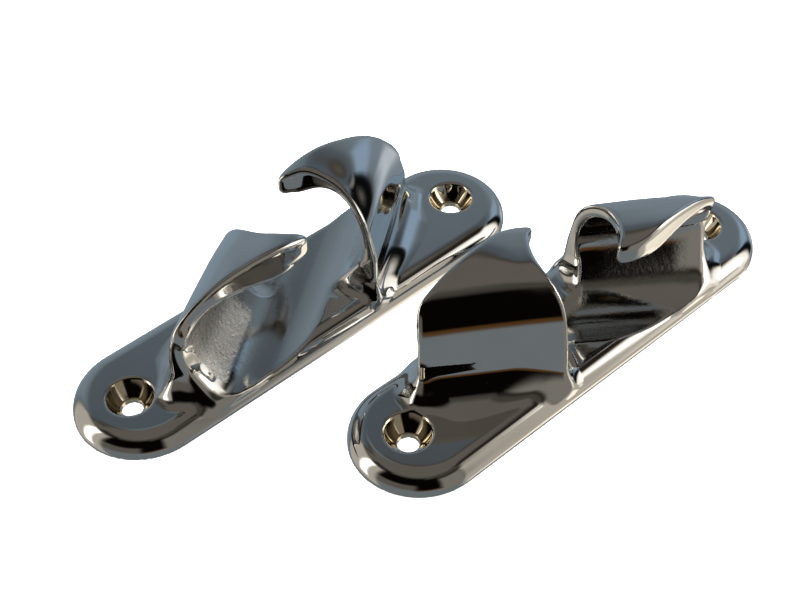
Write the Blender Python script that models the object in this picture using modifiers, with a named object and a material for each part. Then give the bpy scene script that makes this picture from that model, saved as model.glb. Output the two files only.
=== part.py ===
"""A matched port and starboard pair of angled bow chocks: chrome-plated castings, 4-1/2 inches long.

Each chock is one casting: an oblong base plate with two countersunk screw holes, and two hooked
horns. The horns lean over a rope channel that crosses the plate at a slant. A mooring line drops
in through the open slot between the horn tips and runs along the channel. The starboard chock
mirrors the port one, but its horn lips reach 1.7 mm further over the channel.

Frame: metres, +Z up. The origin is under the middle of the pair, on the plane that both chocks
stand on. +X runs along the plates.
"""

import bpy
import bmesh
from math import atan2, cos, pi, radians, sin, sqrt, tan
from mathutils import Matrix

MM = 0.001

# Base plate
PLATE_LENGTH = 115.0 * MM
PLATE_WIDTH = 29.4 * MM
PLATE_THICKNESS = 5.0 * MM
PLATE_EDGE_RADIUS = 4.3 * MM

# Screw holes, for No. 8 countersunk wood screws
HOLE_SPACING = 91.2 * MM
BORE_DIAMETER = 4.3 * MM
COUNTERSINK_DIAMETER = 10.2 * MM
COUNTERSINK_ANGLE = radians(82.0)

# Rope channel, across the plate at a slant
CHANNEL_ANGLE = radians(35.0)
CHANNEL_RADIUS = 13.8 * MM
CHANNEL_AXIS_HEIGHT = 17.3 * MM
CHANNEL_TOP = 8.0 * MM
CHANNEL_LENGTH = 120.0 * MM

# Horn section, across the channel. Each skin is a smooth run of (angle, radius) pairs: 0 degrees is
# level with its centre on the outer side, and 90 degrees is straight above it.
OUTER_CENTRE = (2.0 * MM, 14.0 * MM)
OUTER_RADII_MM = ((-40.0, 18.0), (0.0, 18.0), (27.0, 18.9), (52.0, 19.6), (76.0, 18.9), (106.0, 17.4))
INNER_CENTRE = (0.0, CHANNEL_AXIS_HEIGHT)
INNER_RADII_MM = ((-55.0, 13.8), (0.0, 13.3), (40.0, 12.8), (75.0, 10.3), (100.0, 9.2), (130.0, 9.2))
ROOT_FLARE_MM = ((-18.2, 4.0), (-17.3, 5.8), (-16.5, 8.6))
FLARE_GAP = 1.0 * MM
SECTION_STEP = 6.0

# Horn outline, seen from above: s runs along the channel, n across it.
OUTER_END = -34.4 * MM
INNER_END_MM = ((-21.0, -2.4), (-16.0, -3.0), (-12.0, -5.2), (-7.0, -8.3), (-2.0, -9.4), (2.0, -9.0))
TIP_RADIUS = 1.8 * MM
TIP_OFFSET = 4.3 * MM
LIP_NORMAL = (-0.640, 0.768)
LIP_SETBACKS = {"port": 10.4 * MM, "starboard": 12.1 * MM}
HORN_HEIGHT = 80.0 * MM

# The pair: the starboard chock stands this far along and across from the port one.
STEP_ALONG = 36.66 * MM
STEP_ACROSS = 45.4 * MM

HALF_TURN_SEGMENTS = 32
HOLE_SEGMENTS = 40
EDGE_SEGMENTS = 6
TIP_SEGMENTS = 8
WELD_DISTANCE = 1e-6
FLAT_ANGLE = radians(0.5)
OVERSHOOT = 0.5 * MM

CHROME_COLOUR = (0.62, 0.61, 0.60, 1.0)
CHROME_ROUGHNESS = 0.08

# Stands a flat section upright, so that its depth runs along the channel
UPRIGHT = Matrix(((0, 0, 1, 0), (1, 0, 0, 0), (0, 1, 0, 0), (0, 0, 0, 1)))


def clear_scene():
    for old in list(bpy.data.objects):
        bpy.data.objects.remove(old, do_unlink=True)


def new_collection(name):
    collection = bpy.data.collections.new(name)
    bpy.context.scene.collection.children.link(collection)
    return collection


def chrome_material():
    material = bpy.data.materials.new("chrome_plate")
    material.use_nodes = True
    shader = material.node_tree.nodes["Principled BSDF"]
    shader.inputs["Base Color"].default_value = CHROME_COLOUR
    shader.inputs["Metallic"].default_value = 1.0
    shader.inputs["Roughness"].default_value = CHROME_ROUGHNESS
    return material


def arc(centre, radius, start, end, count):
    """Points on an arc from one angle to another, both ends included."""
    angles = [start + (end - start) * step / count for step in range(count + 1)]
    return [(centre[0] + radius * cos(a), centre[1] + radius * sin(a)) for a in angles]


def smooth_value(pairs, x):
    """Read a smooth curve through (x, value) pairs at x."""
    index = max(i for i in range(len(pairs) - 1) if pairs[i][0] <= x or i == 0)
    (x0, y0), (x1, y1) = pairs[index], pairs[index + 1]
    before = pairs[max(index - 1, 0)]
    after = pairs[min(index + 2, len(pairs) - 1)]
    slope0 = (y1 - before[1]) / (x1 - before[0])
    slope1 = (after[1] - y0) / (after[0] - x0)
    width = x1 - x0
    t = (x - x0) / width
    start = (1 + 2 * t) * (1 - t) ** 2 * y0 + t * (1 - t) ** 2 * width * slope0
    end = t * t * (3 - 2 * t) * y1 + t * t * (t - 1) * width * slope1
    return start + end


def skin_points(centre, radii_mm):
    """Points along one skin of the horn section, as (n, height)."""
    first, last = radii_mm[0][0], radii_mm[-1][0]
    count = round((last - first) / SECTION_STEP)
    points = []
    for step in range(count + 1):
        degrees_round = first + (last - first) * step / count
        radius = smooth_value(radii_mm, degrees_round) * MM
        angle = radians(degrees_round)
        points.append((centre[0] - radius * cos(angle), centre[1] + radius * sin(angle)))
    return points


def horn_section():
    """The hooked section: up the flared root and the outer skin, then down the inner skin."""
    flare = [(n * MM, height * MM) for n, height in ROOT_FLARE_MM]
    above_flare = flare[-1][1] + FLARE_GAP
    outer = [point for point in skin_points(OUTER_CENTRE, OUTER_RADII_MM) if point[1] > above_flare]
    inner = skin_points(INNER_CENTRE, INNER_RADII_MM)
    foot = (inner[0][0], flare[0][1])
    return flare + outer + inner[::-1] + [foot]


def horn_outline(lip_setback):
    """The horn from above, as (s, n): outer end, straight lip, round tip and curved inner end."""
    lip_s, lip_n = LIP_NORMAL
    outer_n = (lip_setback - lip_s * OUTER_END) / lip_n
    tip_s = (lip_setback - TIP_RADIUS - lip_n * TIP_OFFSET) / lip_s
    tip = arc((tip_s, TIP_OFFSET), TIP_RADIUS, atan2(lip_n, lip_s), 0.0, TIP_SEGMENTS)
    first_n, last_n = round(INNER_END_MM[0][0]), round(INNER_END_MM[-1][0])
    inner = [(smooth_value(INNER_END_MM, n) * MM, n * MM) for n in range(last_n, first_n - 1, -1)]
    return [(OUTER_END, inner[-1][1]), (OUTER_END, outer_n)] + tip + inner


def plate_outline():
    """The oblong plate from above."""
    end = PLATE_WIDTH / 2
    straight = PLATE_LENGTH / 2 - end
    right = arc((straight, 0.0), end, -pi / 2, pi / 2, HALF_TURN_SEGMENTS)
    left = arc((-straight, 0.0), end, pi / 2, 3 * pi / 2, HALF_TURN_SEGMENTS)
    return right + left


def channel_section():
    """The round floor of the rope channel, as (n, height), up to a level chord."""
    half_width = sqrt(CHANNEL_RADIUS ** 2 - (CHANNEL_AXIS_HEIGHT - CHANNEL_TOP) ** 2)
    edge = atan2(CHANNEL_TOP - CHANNEL_AXIS_HEIGHT, half_width)
    return arc((0.0, CHANNEL_AXIS_HEIGHT), CHANNEL_RADIUS, -pi - edge, edge, HALF_TURN_SEGMENTS)


def outline_solid(name, points, depth, matrix):
    """A flat outline, thickened by depth about its own plane and set in place by matrix."""
    curve = bpy.data.curves.new(name, "CURVE")
    curve.dimensions = "2D"
    curve.fill_mode = "BOTH"
    curve.extrude = depth / 2
    spline = curve.splines.new("POLY")
    spline.points.add(len(points) - 1)
    for point, (x, y) in zip(spline.points, points):
        point.co = (x, y, 0.0, 1.0)
    spline.use_cyclic_u = True
    outline = bpy.data.objects.new(name, curve)
    bpy.context.scene.collection.objects.link(outline)
    graph = bpy.context.evaluated_depsgraph_get()
    mesh = bpy.data.meshes.new_from_object(outline.evaluated_get(graph))
    bpy.data.objects.remove(outline)

    solid = bmesh.new()
    solid.from_mesh(mesh)
    bmesh.ops.remove_doubles(solid, verts=solid.verts, dist=WELD_DISTANCE)
    bmesh.ops.dissolve_limit(solid, angle_limit=FLAT_ANGLE, verts=solid.verts, edges=solid.edges)
    bmesh.ops.transform(solid, matrix=matrix, verts=solid.verts)
    bmesh.ops.recalc_face_normals(solid, faces=solid.faces)
    solid.to_mesh(mesh)
    solid.free()
    return bpy.data.objects.new(name, mesh)


def turned_solid(name, low, high, low_diameter, high_diameter, along):
    """An upright pin or cone between two heights, on the plate's long axis."""
    solid = bmesh.new()
    centre = Matrix.Translation((along, 0.0, (low + high) / 2))
    bmesh.ops.create_cone(solid, cap_ends=True, segments=HOLE_SEGMENTS, radius1=low_diameter / 2,
                          radius2=high_diameter / 2, depth=high - low, matrix=centre)
    mesh = bpy.data.meshes.new(name)
    solid.to_mesh(mesh)
    solid.free()
    return bpy.data.objects.new(name, mesh)


def add_boolean(target, operation, tool):
    modifier = target.modifiers.new(tool.name, "BOOLEAN")
    modifier.operation = operation
    modifier.object = tool


def round_upper_edge(solid):
    """Round the plate's upper edge all the way along."""
    weights = solid.data.attributes.new("bevel_weight_edge", "FLOAT", "EDGE")
    upper = PLATE_THICKNESS - WELD_DISTANCE
    for edge in solid.data.edges:
        heights = [solid.data.vertices[index].co.z for index in edge.vertices]
        weights.data[edge.index].value = 1.0 if min(heights) > upper else 0.0
    bevel = solid.modifiers.new("upper_edge", "BEVEL")
    bevel.limit_method = "WEIGHT"
    bevel.width = PLATE_EDGE_RADIUS
    bevel.segments = EDGE_SEGMENTS
    bevel.use_clamp_overlap = False


class Chock:
    """One casting, with the cutters that shape it. A hand of 1 is port and -1 is starboard."""

    def __init__(self, side, hand, place, parts, cutters, material):
        self.side = side
        self.hand = hand
        self.place = place
        self.cutters = cutters
        self.channel = Matrix.Rotation(hand * CHANNEL_ANGLE, 4, "Z")
        self.body = outline_solid(side + "_bow_chock", plate_outline(), PLATE_THICKNESS,
                                  Matrix.Translation((0.0, 0.0, PLATE_THICKNESS / 2)))
        self.body.location = place
        self.body.data.materials.append(material)
        parts.objects.link(self.body)
        round_upper_edge(self.body)
        for end in (1, -1):
            add_boolean(self.body, "UNION", self.horn(end))
        add_boolean(self.body, "DIFFERENCE", self.channel_cutter())
        for end in (1, -1):
            for tool in self.hole_cutters(end):
                add_boolean(self.body, "DIFFERENCE", tool)

    def tool(self, solid):
        solid.location = self.place
        solid.hide_render = True
        solid.display_type = "WIRE"
        self.cutters.objects.link(solid)
        return solid

    def across(self, points):
        """Mirror the across-channel coordinate, the first of each pair, to suit the hand."""
        return [(-self.hand * n, height) for n, height in points]

    def horn(self, end):
        """One horn: its section, run along the channel, kept inside its outline from above."""
        half_turn = Matrix.Rotation(0.0 if end > 0 else pi, 4, "Z")
        turn = half_turn @ self.channel
        name = "{}_horn_{}".format(self.side, "a" if end > 0 else "b")
        length = 2 * (OVERSHOOT - OUTER_END)
        horn = outline_solid(name, self.across(horn_section()), length, turn @ UPRIGHT)
        outline = [(s, -self.hand * n) for s, n in horn_outline(LIP_SETBACKS[self.side])]
        keep = outline_solid(name + "_outline", outline, HORN_HEIGHT, turn)
        add_boolean(horn, "INTERSECT", self.tool(keep))
        return self.tool(horn)

    def channel_cutter(self):
        section = self.across(channel_section())
        name = self.side + "_channel"
        return self.tool(outline_solid(name, section, CHANNEL_LENGTH, self.channel @ UPRIGHT))

    def hole_cutters(self, end):
        """The straight bore and the countersink of one screw hole."""
        along = end * HOLE_SPACING / 2
        name = "{}_hole_{}".format(self.side, "a" if end > 0 else "b")
        slope = tan(COUNTERSINK_ANGLE / 2)
        depth = (COUNTERSINK_DIAMETER - BORE_DIAMETER) / 2 / slope
        mouth = COUNTERSINK_DIAMETER + 2 * OVERSHOOT * slope
        point = BORE_DIAMETER - 2 * OVERSHOOT * slope
        low = PLATE_THICKNESS - depth - OVERSHOOT
        high = PLATE_THICKNESS + OVERSHOOT
        bore = turned_solid(name + "_bore", -OVERSHOOT, high, BORE_DIAMETER, BORE_DIAMETER, along)
        sink = turned_solid(name + "_countersink", low, high, point, mouth, along)
        return [self.tool(bore), self.tool(sink)]


def main():
    clear_scene()
    parts = new_collection("bow_chock_pair")
    cutters = new_collection("cutters")
    material = chrome_material()
    half_step = (STEP_ALONG / 2, STEP_ACROSS / 2)
    Chock("port", 1, (-half_step[0], half_step[1], 0.0), parts, cutters, material)
    Chock("starboard", -1, (half_step[0], -half_step[1], 0.0), parts, cutters, material)


main()
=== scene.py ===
"""Looks of a matched port and starboard pair of chrome-plated angled bow chocks."""

import math

import bpy
import numpy as np
from mathutils import Matrix, Vector


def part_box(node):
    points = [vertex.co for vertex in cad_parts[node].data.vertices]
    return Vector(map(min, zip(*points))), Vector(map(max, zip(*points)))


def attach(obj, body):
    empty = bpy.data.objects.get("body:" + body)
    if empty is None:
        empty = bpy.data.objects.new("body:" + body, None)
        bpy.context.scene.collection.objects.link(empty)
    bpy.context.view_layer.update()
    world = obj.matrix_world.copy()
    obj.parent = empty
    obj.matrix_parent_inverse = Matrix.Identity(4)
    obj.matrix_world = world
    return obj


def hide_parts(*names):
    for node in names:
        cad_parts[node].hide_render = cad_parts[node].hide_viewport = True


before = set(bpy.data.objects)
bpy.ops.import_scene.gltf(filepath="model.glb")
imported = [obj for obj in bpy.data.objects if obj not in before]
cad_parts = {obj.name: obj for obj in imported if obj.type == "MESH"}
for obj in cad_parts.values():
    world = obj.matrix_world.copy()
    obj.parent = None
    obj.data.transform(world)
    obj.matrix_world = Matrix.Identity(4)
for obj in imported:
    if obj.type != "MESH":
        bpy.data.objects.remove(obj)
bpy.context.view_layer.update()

MM = 0.001

# Sizes of one casting, in millimetres: u runs along the plate, v across it, z up.
# s runs along the rope channel and n across it, turned from u and v by the channel's angle.
PLATE_LENGTH = 115.0
PLATE_WIDTH = 29.38
PLATE_THICKNESS = 5.0
PLATE_EDGE_RADIUS = 4.3
HOLE_OFFSET = 45.6
BORE_RADIUS = 2.3
COUNTERSINK_RADIUS = 5.1
CHANNEL_ANGLE = math.radians(35.0)
CHANNEL_AXIS_HEIGHT = 17.3
OUTER_END = -34.4

# The countersink's wall closes in by its slope on the way down, and faster by its bow. It is cut
# from a little above the plate to below its underside.
COUNTERSINK_SLOPE = 0.5
COUNTERSINK_BOW = 0.07
COUNTERSINK_DEPTHS = (-1, 5)
COUNTERSINK_SCALE = 0.8

# The channel's mouth widens between two distances out from the middle.
MOUTH_WIDENING = 1.0
MOUTH_SPAN = (26, 38)

# A horn's lip is a straight line in plan. Below its height the lip leans back over the channel.
# The tip starts at its own n and is cut level underneath.
LIP_NORMAL = (-0.640, 0.768)
LIP_HEIGHT = 23.0
LIP_LEAN = 1.2
LIP_BLUR = 1.5
TIP_START = 4.0
TIP_UNDERSIDE = 24.9

# A horn's wall starts a little above the deck. Below the foot's top it only stands on its own side
# of the channel.
HORN_BOTTOM = 3.8
FOOT_TOP = 11.0
FOOT_SETBACK = 3.0

# The fillet where a horn stands on the plate shrinks towards the plate's edge and towards the
# holes, each to this share of its full radius.
ROOT_RADIUS = 7.0
ROOT_SHARE = 0.55
ROOT_EDGE_SPAN = (1, 9)
ROOT_HOLE_SPAN = (0, 6)

# Radii of the horn's outer and inner skins at angles about their centres: 0 degrees is level, on
# the outer side, and 90 degrees is straight up.
OUTER_CENTRE = (2.0, 14.0)
OUTER_RADII = ((-20, 19.2), (0, 18.5), (13, 18.2), (27, 18.8), (42, 19.5), (52, 19.6), (61, 19.3),
               (70, 18.6), (84, 17.7), (100, 17.2), (120, 16.8))
INNER_CENTRE = (0.0, CHANNEL_AXIS_HEIGHT)
INNER_RADII = ((-90, 13.8), (-45, 13.5), (0, 13.2), (20, 13.1), (40, 12.8), (58, 11.7), (75, 10.3),
               (90, 9.2), (110, 8.9), (130, 8.9))
INNER_END = ((-20, -2.5), (-16, -3.0), (-12, -5.2), (-7, -8.3), (-2, -9.4), (2, -8.9), (5, -7.5),
             (8, -7.0))
INNER_END_SCALE = 0.93
LIP_BEAD = ((-16, 0.0), (-9, 0.4), (-3, 1.0), (1, 0.8), (5, 0.0))
BEAD_REACH = 4.0
BEAD_ANGLES = (25, 55)

# Where the changes to each horn's outer skin act: angles in degrees, lengths in millimetres.
TURN_CENTRE = 18.0
DRAFT_BLUR = 1.0
INNER_DIP_SPREAD = 28.0
INNER_DIP_REACH = 6.0
OUTER_DIP_ANGLES = (12, 58)
OUTER_DIP_REACH = 9.0
SHOULDER_ANGLE = 18.0
SHOULDER_SPREAD = 18.0
CROWN_ANGLE = 84.0
CROWN_SPREAD = 14.0
TIP_ANGLES = (90, 110)
END_ROUND_HEIGHTS = (18, 28)

# How wide the rounded edges are where surfaces meet.
SKIN_EDGE = 1.6
TIP_EDGE = 6.0
INNER_END_EDGE = 3.0
UNDERSIDE_EDGE = 3.0
RIM_EDGE = 1.8
OUTER_END_EDGE = 2.4
OUTLINE_INSET = 0.3
OUTLINE_EDGE = 1.0
CHANNEL_EDGE = 0.8
MOUTH_EDGE = 4.5
MOUTH_EDGE_SPAN = (30.5, 36.5)
COUNTERSINK_EDGE = 0.6
BORE_EDGE = 0.4

# Where the grain of the casting shows: between these distances along and across the channel,
# up to these heights, and this close to the channel's skin.
GRAIN_OUTER_SPAN = (-30.4, -29.7)
GRAIN_INNER_SPAN = (-12.0, -7.0)
GRAIN_SIDE_SPAN = (6.8, 8.6)
GRAIN_TOP_SPAN = (17, 21)
GRAIN_DEPTH = (0.3, 0.8)
FLOOR_GRAIN = 0.12
FLOOR_GRAIN_SPAN = (-31.0, -27.0)
FLOOR_GRAIN_TOP = (8, 12)
BRASS_INSIDE = 0.2
BRASS_OUTSIDE = 0.3

# What differs between the four horns: how far the lip stands back, how far over the channel the
# tip reaches, how thick the lip's bead is, how the outer wall turns and stands in from square and
# spreads towards the plate, how far the crown drops at the inner end (and at which angle) and at
# the outer end, how much fuller its shoulder, crown and tip are, and how much rounder the corner
# at the top of its outer end is.
HORN_SHAPES = {
    "port_bow_chock": (
        {"lip": 10.4, "reach": 6.4, "bead": 2.4, "turn": 0.045, "inward": -0.55, "draft": 0.03,
         "dip": 1.2, "dip_angle": 60.0, "outer_dip": 0.5, "shoulder": 0.4, "crown": 0.7,
         "tip_rise": -0.5, "end_round": 0.0},
        {"lip": 11.1, "reach": 7.4, "bead": 2.4, "turn": -0.02, "inward": 0.1, "draft": 0.0,
         "dip": 1.2, "dip_angle": 60.0, "outer_dip": 1.8, "shoulder": -0.2, "crown": 1.0,
         "tip_rise": -0.3, "end_round": 6.0}),
    "starboard_bow_chock": (
        {"lip": 12.1, "reach": 5.9, "bead": 1.2, "turn": 0.03, "inward": -0.36, "draft": 0.16,
         "dip": 1.1, "dip_angle": 85.0, "outer_dip": 0.2, "shoulder": 0.0, "crown": 0.3,
         "tip_rise": -1.0, "end_round": 0.0},
        {"lip": 12.1, "reach": 5.0, "bead": 1.2, "turn": 0.03, "inward": -0.36, "draft": 0.14,
         "dip": 0.7, "dip_angle": 85.0, "outer_dip": 1.2, "shoulder": 0.0, "crown": 0.5,
         "tip_rise": -0.4, "end_round": 0.0}),
}
HANDS = {"port_bow_chock": -1, "starboard_bow_chock": 1}
GRAIN = {"port_bow_chock": 1.0, "starboard_bow_chock": 0.25}

# The grid that the surface is found on: its cell and the height it reaches, in millimetres, how
# many cells a coarse block has, how near a block must be to be worked out in full, and how many
# cells the grid goes past the solid. Then the vertices are moved onto the surface in a few steps.
CELL = 0.42
GRID_TOP = 34.0
BLOCK = 4
NEAR_BLOCKS = 2.6
MARGIN_CELLS = 3
SETTLING_STEPS = 3
LEAST_SLOPE = 0.2
SLOPE_REACH = 0.02


def cubic_join(a, b, reach):
    """Union of two distance fields with a rounded inside corner."""
    h = np.maximum(reach - np.abs(a - b), 0) / reach
    return np.minimum(a, b) - h * h * h * reach / 6


def cubic_meet(a, b, reach):
    """Intersection of two distance fields with a rounded outside corner."""
    return -cubic_join(-a, -b, reach)


def round_join(a, b, radius):
    """Union of two distance fields with a fillet of one radius in the inside corner."""
    corner = np.hypot(np.maximum(radius - a, 0), np.maximum(radius - b, 0))
    return np.maximum(np.minimum(a, b), radius) - corner


def ramp(x, blur):
    """x where it is positive and 0 where it is negative, blurred at the turn."""
    return 0.5 * (x + np.sqrt(x * x + blur * blur))


def step(x, low, high):
    """0 up to low, 1 from high, and a smooth rise between them."""
    t = np.clip((x - low) / (high - low), 0, 1)
    return t * t * (3 - 2 * t)


def hill(x, middle, spread):
    """1 at the middle, falling away smoothly on both sides."""
    return np.exp(-((x - middle) / spread) ** 2)


def smooth_curve(pairs):
    """A natural cubic spline through (x, value) pairs, as a function."""
    x, y = np.array(pairs, float).T
    width = np.diff(x)
    count = len(x)
    system = np.eye(count)
    right = np.zeros(count)
    for i in range(1, count - 1):
        system[i, i - 1:i + 2] = width[i - 1], 2 * (width[i - 1] + width[i]), width[i]
        right[i] = 6 * ((y[i + 1] - y[i]) / width[i] - (y[i] - y[i - 1]) / width[i - 1])
    bend = np.linalg.solve(system, right)

    def value(at):
        at = np.clip(at, x[0], x[-1])
        i = np.clip(np.searchsorted(x, at) - 1, 0, count - 2)
        a = (x[i + 1] - at) / width[i]
        b = 1 - a
        curved = ((a ** 3 - a) * bend[i] + (b ** 3 - b) * bend[i + 1]) * width[i] ** 2 / 6
        return a * y[i] + b * y[i + 1] + curved

    return value


OUTER_RADIUS = smooth_curve(OUTER_RADII)
INNER_RADIUS = smooth_curve(INNER_RADII)
INNER_END_AT = smooth_curve(INNER_END)
BEAD_AT = smooth_curve(LIP_BEAD)


def polar(n, z, centre):
    """Distance from a skin's centre, and the angle in degrees up from the outer side."""
    angle = np.degrees(np.arctan2(z - centre[1], centre[0] - n))
    return np.hypot(n - centre[0], z - centre[1]), np.where(angle < -135, angle + 360, angle)


def channel_skin(s, n, z):
    """Positive inside the rope channel, whose mouth widens towards the horn's outer end."""
    radius, angle = polar(n, z, INNER_CENTRE)
    level = np.cos(np.radians(np.clip(angle, -90, 90)))
    return INNER_RADIUS(angle) + MOUTH_WIDENING * step(-s, *MOUTH_SPAN) * level - radius


class Horn:
    """One hooked horn as a distance field, its outer end towards -s and its tip towards +n."""

    def __init__(self, shape):
        self.shape = shape

    def past_lip(self, s, n):
        """How far a place in plan is beyond the lip's line, towards the open channel."""
        return LIP_NORMAL[0] * s + LIP_NORMAL[1] * n - self.shape["lip"]

    def outer_skin(self, s, n, z):
        """Positive outside the horn. Below its centre's height the skin is an upright wall."""
        shape = self.shape
        inward = shape["turn"] * (np.minimum(s, 0) + TURN_CENTRE) + shape["inward"]
        inward = inward - shape["draft"] * ramp(OUTER_CENTRE[1] - z, DRAFT_BLUR)
        radius, angle = polar(n - inward, np.maximum(z, OUTER_CENTRE[1]), OUTER_CENTRE)
        from_inner_end = np.maximum(INNER_END_AT(n) - s, 0)
        inner_dip = shape["dip"] * hill(angle, shape["dip_angle"], INNER_DIP_SPREAD)
        inner_dip = inner_dip * hill(from_inner_end, 0, INNER_DIP_REACH)
        outer_dip = shape["outer_dip"] * step(angle, *OUTER_DIP_ANGLES)
        outer_dip = outer_dip * hill(s, OUTER_END, OUTER_DIP_REACH)
        fuller = shape["shoulder"] * hill(angle, SHOULDER_ANGLE, SHOULDER_SPREAD)
        fuller += shape["crown"] * hill(angle, CROWN_ANGLE, CROWN_SPREAD)
        fuller += shape["tip_rise"] * step(angle, *TIP_ANGLES)
        return radius - OUTER_RADIUS(angle) + inner_dip + outer_dip - fuller

    def inner_skin(self, s, n, z):
        """The channel's skin, less the bead that runs along the lip."""
        angle = polar(n, z, INNER_CENTRE)[1]
        at_lip = hill(self.past_lip(s, n), 0, BEAD_REACH) * step(angle, *BEAD_ANGLES)
        return channel_skin(s, n, z) - self.shape["bead"] * at_lip * BEAD_AT(n)

    def distance(self, s, n, z):
        """Negative inside the horn."""
        wall = cubic_meet(self.outer_skin(s, n, z), self.inner_skin(s, n, z), SKIN_EDGE)
        lip = self.past_lip(s, n) - LIP_LEAN * ramp(LIP_HEIGHT - z, LIP_BLUR)
        rim = cubic_meet(lip, n - self.shape["reach"], TIP_EDGE)
        rim = cubic_meet(rim, (s - INNER_END_AT(n)) * INNER_END_SCALE, INNER_END_EDGE)
        rim = cubic_meet(rim, np.minimum(TIP_UNDERSIDE - z, n - TIP_START), UNDERSIDE_EDGE)
        wall = cubic_meet(wall, rim, RIM_EDGE)
        end_edge = OUTER_END_EDGE + self.shape["end_round"] * step(z, *END_ROUND_HEIGHTS)
        wall = cubic_meet(wall, OUTER_END - s, end_edge)
        foot = np.minimum(n + FOOT_SETBACK, FOOT_TOP - z)
        return np.maximum(np.maximum(wall, foot), HORN_BOTTOM - z)


def along_channel(u, v):
    """s and n for a place on the plate."""
    s = u * math.cos(CHANNEL_ANGLE) - v * math.sin(CHANNEL_ANGLE)
    return s, u * math.sin(CHANNEL_ANGLE) + v * math.cos(CHANNEL_ANGLE)


def root_share(distance, span):
    """The share of the root's fillet that is left at a distance from what it gives way to."""
    return ROOT_SHARE + (1 - ROOT_SHARE) * step(distance, *span)


class Casting:
    """The solid of one chock as a distance field, in its own u, v, z millimetres."""

    def __init__(self, shapes):
        self.horns = [Horn(shape) for shape in shapes]

    def plate(self, side, z):
        """side is the distance outside the plate's outline."""
        out, up = side + PLATE_EDGE_RADIUS, z - PLATE_THICKNESS + PLATE_EDGE_RADIUS
        corner = np.hypot(np.maximum(out, 0), np.maximum(up, 0))
        return corner + np.minimum(np.maximum(out, up), 0) - PLATE_EDGE_RADIUS

    def distance(self, points):
        """Negative inside the casting."""
        u, v, z = points[..., 0], points[..., 1], points[..., 2]
        along = np.maximum(np.abs(u) - (PLATE_LENGTH - PLATE_WIDTH) / 2, 0)
        side = np.hypot(along, v) - PLATE_WIDTH / 2
        s, n = along_channel(u, v)
        channel = np.where(n < 0, channel_skin(s, n, z), channel_skin(-s, -n, z))
        channel = np.minimum(channel, CHANNEL_AXIS_HEIGHT - z)
        outer_s = np.where(n < 0, s, -s)
        from_hole = np.hypot(np.abs(u) - HOLE_OFFSET, v)
        plate = self.plate(side, z)
        root = ROOT_RADIUS * root_share(-side, ROOT_EDGE_SPAN)
        root = root * root_share(from_hole - COUNTERSINK_RADIUS, ROOT_HOLE_SPAN)
        solid = plate
        for horn, turn in zip(self.horns, (1, -1)):
            solid = round_join(solid, horn.distance(turn * s, turn * n, z), root)
        solid = cubic_meet(solid, side + OUTLINE_INSET, OUTLINE_EDGE)
        solid = np.minimum(solid, plate)
        mouth_edge = MOUTH_EDGE * step(-outer_s, *MOUTH_EDGE_SPAN)
        solid = cubic_meet(solid, channel, CHANNEL_EDGE + mouth_edge)
        down = np.clip(PLATE_THICKNESS - z, *COUNTERSINK_DEPTHS)
        bowl = COUNTERSINK_RADIUS - (COUNTERSINK_SLOPE + COUNTERSINK_BOW * down) * down - from_hole
        over_plate = PLATE_THICKNESS - COUNTERSINK_DEPTHS[0] - z
        sink = np.minimum(bowl * COUNTERSINK_SCALE, over_plate)
        solid = cubic_meet(solid, sink, COUNTERSINK_EDGE)
        solid = cubic_meet(solid, BORE_RADIUS - from_hole, BORE_EDGE)
        return np.maximum(solid, -z)

    def gradient(self, points):
        """The field's slope at each point, which is the normal of a point on the surface."""
        slope = np.empty_like(points)
        for axis in range(3):
            offset = np.zeros(3)
            offset[axis] = SLOPE_REACH
            rise = self.distance(points + offset) - self.distance(points - offset)
            slope[..., axis] = rise / (2 * SLOPE_REACH)
        return slope


def sample(casting, low, counts):
    """The field on a grid, worked out in full only near the surface."""
    axes = [low[i] + CELL * np.arange(counts[i]) for i in range(3)]
    grid = np.stack(np.meshgrid(*axes, indexing="ij"), -1)
    coarse = casting.distance(grid[::BLOCK, ::BLOCK, ::BLOCK])
    values = coarse.repeat(BLOCK, 0).repeat(BLOCK, 1).repeat(BLOCK, 2)
    values = values[:counts[0], :counts[1], :counts[2]]
    near = np.abs(values) < NEAR_BLOCKS * BLOCK * CELL
    values[near] = casting.distance(grid[near])
    return values


def surface(values, low):
    """Quads round the field's zero level: one vertex in each cell that the surface crosses."""
    inside = values < 0
    cells = np.array(values.shape) - 1
    corners = [(i, j, k) for i in (0, 1) for j in (0, 1) for k in (0, 1)]
    filled = sum(inside[i:cells[0] + i, j:cells[1] + j, k:cells[2] + k].astype(np.int8)
                 for i, j, k in corners)
    crossed = (filled > 0) & (filled < 8)
    cell = np.argwhere(crossed)
    index = np.full(crossed.shape, -1)
    index[crossed] = np.arange(len(cell))
    total = np.zeros((len(cell), 3))
    hits = np.zeros(len(cell))
    for corner in corners:
        for axis in range(3):
            if corner[axis]:
                continue
            start = np.array(corner)
            end = start + np.eye(3, dtype=int)[axis]
            first = values[tuple((cell + start).T)]
            last = values[tuple((cell + end).T)]
            cut = (first < 0) != (last < 0)
            where = np.where(cut, first / np.where(cut, first - last, 1), 0)
            total[cut] += (start + where[:, None] * (end - start))[cut]
            hits[cut] += 1
    vertices = low + CELL * (cell + total / hits[:, None])
    quads = [quads_across(inside, index, axis) for axis in range(3)]
    return vertices, np.concatenate(quads)


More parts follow.
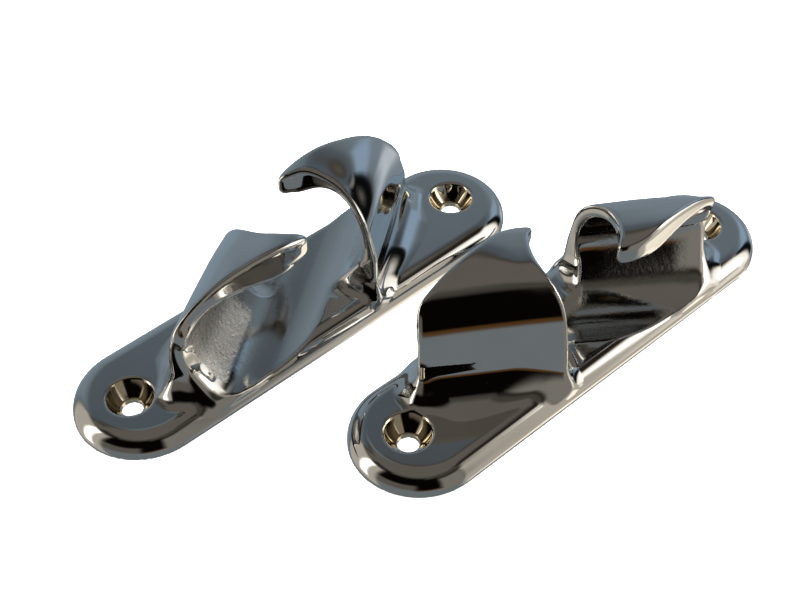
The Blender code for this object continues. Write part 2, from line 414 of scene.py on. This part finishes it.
def quads_across(inside, index, axis):
    """The quads whose grid edges run along one axis."""
    first = inside.take(range(inside.shape[axis] - 1), axis)
    last = inside.take(range(1, inside.shape[axis]), axis)
    edge = np.argwhere(first != last)
    outward = first[first != last]
    next_axis, last_axis = (axis + 1) % 3, (axis + 2) % 3
    around = []
    for back_next, back_last in ((1, 1), (0, 1), (0, 0), (1, 0)):
        cell = edge.copy()
        cell[:, next_axis] -= back_next
        cell[:, last_axis] -= back_last
        around.append(index[tuple(cell.T)])
    quad = np.stack(around, 1)
    quad[~outward] = quad[~outward][:, ::-1]
    return quad


def casting_mesh(name, node, centre):
    """The casting's surface as a mesh in the row frame, with its true normals."""
    casting = Casting(HORN_SHAPES[node])
    hand = HANDS[node]
    margin = MARGIN_CELLS * CELL
    low = np.array([-PLATE_LENGTH / 2 - margin, -PLATE_WIDTH / 2 - margin, -margin])
    high = np.array([PLATE_LENGTH / 2 + margin, PLATE_WIDTH / 2 + margin, GRID_TOP + margin])
    counts = np.ceil((high - low) / CELL).astype(int) + 1
    vertices, quads = surface(sample(casting, low, counts), low)
    for _ in range(SETTLING_STEPS):
        slope = casting.gradient(vertices)
        size = np.maximum((slope * slope).sum(1), LEAST_SLOPE)
        move = np.clip(casting.distance(vertices) / size, -CELL, CELL)
        vertices = vertices - move[:, None] * slope
    vertices[:, 2] = np.maximum(vertices[:, 2], 0)
    normals = casting.gradient(vertices)
    normals /= np.linalg.norm(normals, axis=1, keepdims=True)
    grain = cast_grain(vertices, GRAIN[node])
    sink = countersink_wall(vertices)

    flip = np.array([1, hand, 1])
    if hand < 0:
        quads = quads[:, ::-1]
    mesh = bpy.data.meshes.new(name)
    mesh.from_pydata((vertices * flip * MM + centre).tolist(), [], quads.tolist())
    for label, values in (("cast_grain", grain), ("countersink", sink)):
        layer = mesh.attributes.new(label, "FLOAT", "POINT")
        layer.data.foreach_set("value", values.astype(np.float32))
    mesh.shade_smooth()
    mesh.normals_split_custom_set_from_vertices((normals * flip).tolist())
    return mesh


def cast_grain(points, amount):
    """How rough the casting is left: most on the channel wall under each horn, where no polishing
    wheel reaches, with a crisp edge towards the outer end."""
    u, v, z = points.T
    s, n = along_channel(u, v)
    s = np.where(n < 0, s, -s)
    n = -np.abs(n)
    on_skin = 1 - step(np.abs(channel_skin(s, n, z)), *GRAIN_DEPTH)
    wall = step(s, *GRAIN_OUTER_SPAN) * (1 - step(s, *GRAIN_INNER_SPAN))
    wall = wall * step(-n, *GRAIN_SIDE_SPAN) * (1 - step(z, *GRAIN_TOP_SPAN))
    floor = FLOOR_GRAIN * step(s, *FLOOR_GRAIN_SPAN) * (1 - step(z, *FLOOR_GRAIN_TOP))
    return on_skin * np.maximum(wall * amount, floor)


def countersink_wall(points):
    """1 inside the countersinks, 0 outside them."""
    u, v, _ = points.T
    radius = np.hypot(np.abs(u) - HOLE_OFFSET, v)
    return 1 - step(radius, COUNTERSINK_RADIUS - BRASS_INSIDE, COUNTERSINK_RADIUS + BRASS_OUTSIDE)


# The chrome: its colours, how strongly the grain and the holes take theirs, the scale of each noise
# in cycles a metre and its detail, how rough it is, and how high its waves and specks are in metres.
CHROME_SHADES = ((0.63, 0.62, 0.60, 1.0), (0.67, 0.66, 0.645, 1.0))
GRAIN_COLOUR = (0.50, 0.50, 0.49, 1.0)
GRAIN_COLOUR_SHARE = 0.35
BRASS_COLOUR = (0.70, 0.58, 0.36, 1.0)
BRASS_SHARE = 0.6
CLOUD_SCALE = 55.0
CLOUD_DETAIL = 3.0
CLOUD_SPAN = (0.35, 0.65)
PIT_SCALE = 1000.0
PIT_DETAIL = 4.0
PIT_ROUGHNESS = 0.65
HAZE_SCALE = 260.0
HAZE_DETAIL = 2.0
NOISE_SPAN = (0.3, 0.7)
POLISHED_ROUGHNESS = (0.035, 0.075)
GRAIN_ROUGHNESS = (0.16, 0.42)
WAVE_STRENGTH = 0.25
WAVE_HEIGHT = 0.00012
SPECK_STRENGTH = 0.85
SPECK_HEIGHT = 0.00018

# The colour sockets of a Mix node, which has the same names again for its other data types.
MIX_FACTOR = 0
MIX_COLOURS = (6, 7)
MIX_RESULT = 2


class Nodes:
    """Short names for the nodes of one material."""

    def __init__(self, name):
        self.material = bpy.data.materials.new(name)
        self.material.use_nodes = True
        self.tree = self.material.node_tree
        self.shader = self.tree.nodes["Principled BSDF"]

    def add(self, kind, **values):
        """A new node. Each value goes to the socket of that name, with spaces for underscores."""
        node = self.tree.nodes.new(kind)
        for key, value in values.items():
            node.inputs[key.replace("_", " ")].default_value = value
        return node

    def link(self, source, target):
        self.tree.links.new(source, target)

    def noise(self, scale, detail, roughness=0.5):
        position = self.add("ShaderNodeTexCoord")
        node = self.add("ShaderNodeTexNoise", Scale=scale, Detail=detail, Roughness=roughness)
        self.link(position.outputs["Object"], node.inputs["Vector"])
        return node.outputs["Fac"]

    def spread(self, source, span, to_span):
        """Maps one span of a value to another, and keeps what lies outside at the ends."""
        node = self.add("ShaderNodeMapRange", From_Min=span[0], From_Max=span[1],
                        To_Min=to_span[0], To_Max=to_span[1])
        self.link(source, node.inputs["Value"])
        return node.outputs["Result"]

    def math(self, operation, first, second):
        node = self.add("ShaderNodeMath")
        node.operation = operation
        for socket, value in zip(node.inputs, (first, second)):
            if isinstance(value, (int, float)):
                socket.default_value = value
            else:
                self.link(value, socket)
        return node.outputs["Value"]

    def attribute(self, name):
        node = self.add("ShaderNodeAttribute")
        node.attribute_name = name
        return node.outputs["Fac"]

    def mix_colour(self, factor, first, second):
        node = self.add("ShaderNodeMix")
        node.data_type = "RGBA"
        for place, value in zip(MIX_COLOURS, (first, second)):
            if isinstance(value, tuple):
                node.inputs[place].default_value = value
            else:
                self.link(value, node.inputs[place])
        self.link(factor, node.inputs[MIX_FACTOR])
        return node.outputs[MIX_RESULT]

    def bump(self, height, **values):
        node = self.add("ShaderNodeBump", **values)
        self.link(height, node.inputs["Height"])
        return node


def chrome():
    """Polished chrome plate, dull and grainy in the channel, brassy where it thins in the holes."""
    nodes = Nodes("chrome_plate")
    grain = nodes.attribute("cast_grain")
    sink = nodes.attribute("countersink")
    cloud = nodes.noise(CLOUD_SCALE, CLOUD_DETAIL)
    pits = nodes.noise(PIT_SCALE, PIT_DETAIL, PIT_ROUGHNESS)
    haze = nodes.noise(HAZE_SCALE, HAZE_DETAIL)

    colour = nodes.mix_colour(nodes.spread(cloud, CLOUD_SPAN, (0.0, 1.0)), *CHROME_SHADES)
    dull = nodes.math("MULTIPLY", grain, GRAIN_COLOUR_SHARE)
    colour = nodes.mix_colour(dull, colour, GRAIN_COLOUR)
    brassy = nodes.math("MULTIPLY", sink, BRASS_SHARE)
    colour = nodes.mix_colour(brassy, colour, BRASS_COLOUR)
    nodes.link(colour, nodes.shader.inputs["Base Color"])

    polished = nodes.spread(haze, NOISE_SPAN, POLISHED_ROUGHNESS)
    rough = nodes.math("MULTIPLY", grain, nodes.spread(pits, NOISE_SPAN, GRAIN_ROUGHNESS))
    nodes.link(nodes.math("ADD", polished, rough), nodes.shader.inputs["Roughness"])
    nodes.shader.inputs["Metallic"].default_value = 1.0

    waves = nodes.bump(cloud, Strength=WAVE_STRENGTH, Distance=WAVE_HEIGHT)
    specks = nodes.bump(pits, Distance=SPECK_HEIGHT)
    nodes.link(nodes.math("MULTIPLY", grain, SPECK_STRENGTH), specks.inputs["Strength"])
    nodes.link(waves.outputs["Normal"], specks.inputs["Normal"])
    nodes.link(specks.outputs["Normal"], nodes.shader.inputs["Normal"])
    return nodes.material


def make_chocks():
    """Each casting stands where its CAD node does, rides on the root and replaces that node."""
    material = chrome()
    for node in HORN_SHAPES:
        low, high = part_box(node)
        centre = np.array([(low.x + high.x) / 2, (low.y + high.y) / 2, low.z])
        name = node.replace("_bow_chock", "_casting")
        piece = bpy.data.objects.new(name, casting_mesh(name, node, centre))
        bpy.context.scene.collection.objects.link(piece)
        piece.data.materials.append(material)
        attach(piece, "root")
        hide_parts(node)


# The camera: its place in metres, the way that it looks, its roll, and its lens in millimetres.
CAMERA_PLACE = Vector((-0.1430, -0.15005, 0.22493))
CAMERA_HEADING = math.radians(41.725)
CAMERA_PITCH = math.radians(46.494)
CAMERA_ROLL = -0.0028
CAMERA_LENS = 61.88
SENSOR_WIDTH = 36.0
CLIP_START = 0.01

# The studio: a dome of soft panels, seen only in the object's reflections. Each panel is heading,
# height, half width, half height and softness, all in degrees, and colour, as the values of a
# screen where 255 is white. Headings count clockwise from the camera's own, and a later panel
# covers an earlier one.
DOME_RADIUS = 2.0
DOME_STEP = 2.0
DOME_GAIN = 1.55
ZENITH_COLOUR = (88, 84, 78)
ZENITH_HEIGHTS = (35, 62)
LEVEL_COLOUR = (84, 80, 74)
UNDER_COLOUR = (100, 106, 109)
UNDER_DEPTHS = (8, 22)
PANELS = (
    (0, 14, 68, 46, 3, (62, 59, 53)),  # card edge
    (-18, 54, 10, 9, 4, (90, 101, 107)),  # blue card high
    (0, 8, 60, 47, 3, (72, 80, 87)),  # blue card top
    (0, 2, 58, 43, 7, (95, 106, 113)),  # blue card middle
    (0, -8, 56, 38, 12, (110, 121, 131)),  # blue card low
    (46, 24, 13, 13, 6, (126, 147, 167)),  # blue card right
    (-30, -14, 14, 16, 8, (114, 130, 141)),  # blue card left
    (-92, -2, 29, 44, 5, (163, 157, 148)),  # left softbox
    (-100, 6, 6, 34, 4, (350, 345, 330)),  # left softbox core
    (88, 0, 27, 46, 5, (162, 156, 146)),  # right softbox
    (84, 16, 13, 29, 4, (245, 241, 233)),  # right softbox edge
    (93, -13, 9, 10, 5, (222, 215, 203)),  # right softbox low
    (92, 22, 9, 14, 4, (350, 344, 330)),  # right softbox core
    (62, 14, 6, 29, 3, (9, 10, 11)),  # right card gap
    (46, -17, 5, 9, 5, (172, 181, 189)),  # right card glow
    (78, -46, 22, 7, 4, (250, 240, 220)),  # right glow low
    (134, 0, 17, 34, 5, (112, 109, 103)),  # right back grey
    (82, 54, 26, 5, 4, (30, 25, 20)),  # right gap
    (130, 46, 22, 9, 5, (26, 22, 17)),  # right back gap
    (-112, 52, 20, 5, 4, (36, 32, 27)),  # left gap
    (165, 50, 60, 7, 6, (62, 59, 54)),  # behind high
    (-156, 32, 33, 19, 5, (5, 4, 3)),  # camera side
    (167, 15, 17, 31, 5, (5, 4, 3)),  # camera side far
    (164, -15, 16, 3, 2, (74, 50, 24)),  # warm edge
)

FLOOR_SIZE = 6.0
FLOOR_COLOUR = (0.92, 0.92, 0.915, 1.0)
FLOOR_ROUGHNESS = 0.9
KEY_LIGHT_SIZE = 1.6
KEY_LIGHT_HEIGHT = 1.5
KEY_LIGHT_POWER = 75.0
SURROUND_COLOUR = (1.0, 1.0, 1.0, 1.0)
SURROUND_STRENGTH = 0.75


def linear(colour):
    """A colour written as 0 to 255 screen values, as light, by the sRGB curve."""
    value = np.array(colour, float) / 255
    return np.where(value <= 0.04045, value / 12.92, ((value + 0.055) / 1.055) ** 2.4)


def room_light(directions):
    """The light that comes from each direction: x to the camera's right, y ahead, z up."""
    heading = np.degrees(np.arctan2(directions[:, 0], directions[:, 1]))
    height = np.degrees(np.arcsin(np.clip(directions[:, 2], -1, 1)))
    zenith = step(height, *ZENITH_HEIGHTS)
    light = np.outer(zenith, linear(ZENITH_COLOUR)) + np.outer(1 - zenith, linear(LEVEL_COLOUR))
    under = step(-height, *UNDER_DEPTHS)[:, None]
    light = light * (1 - under) + under * linear(UNDER_COLOUR)
    for at, level, half_width, half_height, soft, colour in PANELS:
        aside = np.abs((heading - at + 180) % 360 - 180) - half_width
        above = np.abs(height - level) - half_height
        cover = (1 - step(np.maximum(aside, above), -soft, soft))[:, None]
        light = light * (1 - cover) + cover * linear(colour)
    return light


def make_dome(turn):
    """A sphere of light round the object, hidden from the camera and from the floor."""
    bpy.ops.mesh.primitive_uv_sphere_add(radius=DOME_RADIUS, segments=round(360 / DOME_STEP),
                                         ring_count=round(180 / DOME_STEP))
    dome = bpy.context.object
    dome.name = "studio_dome"
    mesh = dome.data
    count = len(mesh.vertices)
    places = np.empty(count * 3, np.float32)
    mesh.vertices.foreach_get("co", places)
    directions = places.reshape(-1, 3) / DOME_RADIUS
    colours = np.ones((count, 4), np.float32)
    colours[:, :3] = room_light(directions) * DOME_GAIN
    layer = mesh.color_attributes.new("room_light", "FLOAT_COLOR", "POINT")
    layer.data.foreach_set("color", colours.ravel())
    mesh.shade_smooth()
    dome.rotation_euler.z = -turn

    material = bpy.data.materials.new("studio_dome")
    material.use_nodes = True
    tree = material.node_tree
    tree.nodes.clear()
    attribute = tree.nodes.new("ShaderNodeAttribute")
    attribute.attribute_name = "room_light"
    emission = tree.nodes.new("ShaderNodeEmission")
    output = tree.nodes.new("ShaderNodeOutputMaterial")
    tree.links.new(attribute.outputs["Color"], emission.inputs["Color"])
    tree.links.new(emission.outputs["Emission"], output.inputs["Surface"])
    mesh.materials.append(material)
    for kind in ("camera", "diffuse", "transmission", "volume_scatter", "shadow"):
        setattr(dome, "visible_" + kind, False)


def make_floor():
    """A matt pale floor, which the chrome doesn't mirror: the dome stands in for it there."""
    bpy.ops.mesh.primitive_plane_add(size=FLOOR_SIZE)
    floor = bpy.context.object
    floor.name = "studio_floor"
    material = bpy.data.materials.new("studio_floor")
    material.use_nodes = True
    shader = material.node_tree.nodes["Principled BSDF"]
    shader.inputs["Base Color"].default_value = FLOOR_COLOUR
    shader.inputs["Roughness"].default_value = FLOOR_ROUGHNESS
    shader.inputs["Specular IOR Level"].default_value = 0.0
    floor.data.materials.append(material)
    floor.visible_glossy = False


def make_lights():
    """One large soft light overhead and a pale surround, both for the floor alone."""
    light = bpy.data.lights.new("overhead", "AREA")
    light.shape = "SQUARE"
    light.size = KEY_LIGHT_SIZE
    light.energy = KEY_LIGHT_POWER
    light.specular_factor = 0.0
    lamp = bpy.data.objects.new("overhead", light)
    lamp.location = (0.0, 0.0, KEY_LIGHT_HEIGHT)
    lamp.visible_glossy = False
    bpy.context.scene.collection.objects.link(lamp)

    world = bpy.data.worlds.new("studio_surround")
    world.use_nodes = True
    surround = world.node_tree.nodes["Background"]
    surround.inputs["Color"].default_value = SURROUND_COLOUR
    surround.inputs["Strength"].default_value = SURROUND_STRENGTH
    bpy.context.scene.world = world


def make_camera():
    """The camera looks down on the pair, with almost no roll."""
    data = bpy.data.cameras.new("camera")
    data.lens = CAMERA_LENS
    data.sensor_width = SENSOR_WIDTH
    data.clip_start = CLIP_START
    camera = bpy.data.objects.new("camera", data)
    level = math.cos(CAMERA_PITCH)
    look = Vector((math.sin(CAMERA_HEADING) * level, math.cos(CAMERA_HEADING) * level,
                   -math.sin(CAMERA_PITCH)))
    turn = look.to_track_quat("-Z", "Y").to_matrix().to_4x4()
    roll = Matrix.Rotation(CAMERA_ROLL, 4, "Z")
    camera.matrix_world = Matrix.Translation(CAMERA_PLACE) @ turn @ roll
    bpy.context.scene.collection.objects.link(camera)
    bpy.context.scene.camera = camera


make_chocks()
make_dome(CAMERA_HEADING)
make_floor()
make_lights()
make_camera()
bpy.context.scene.view_settings.view_transform = "Standard"
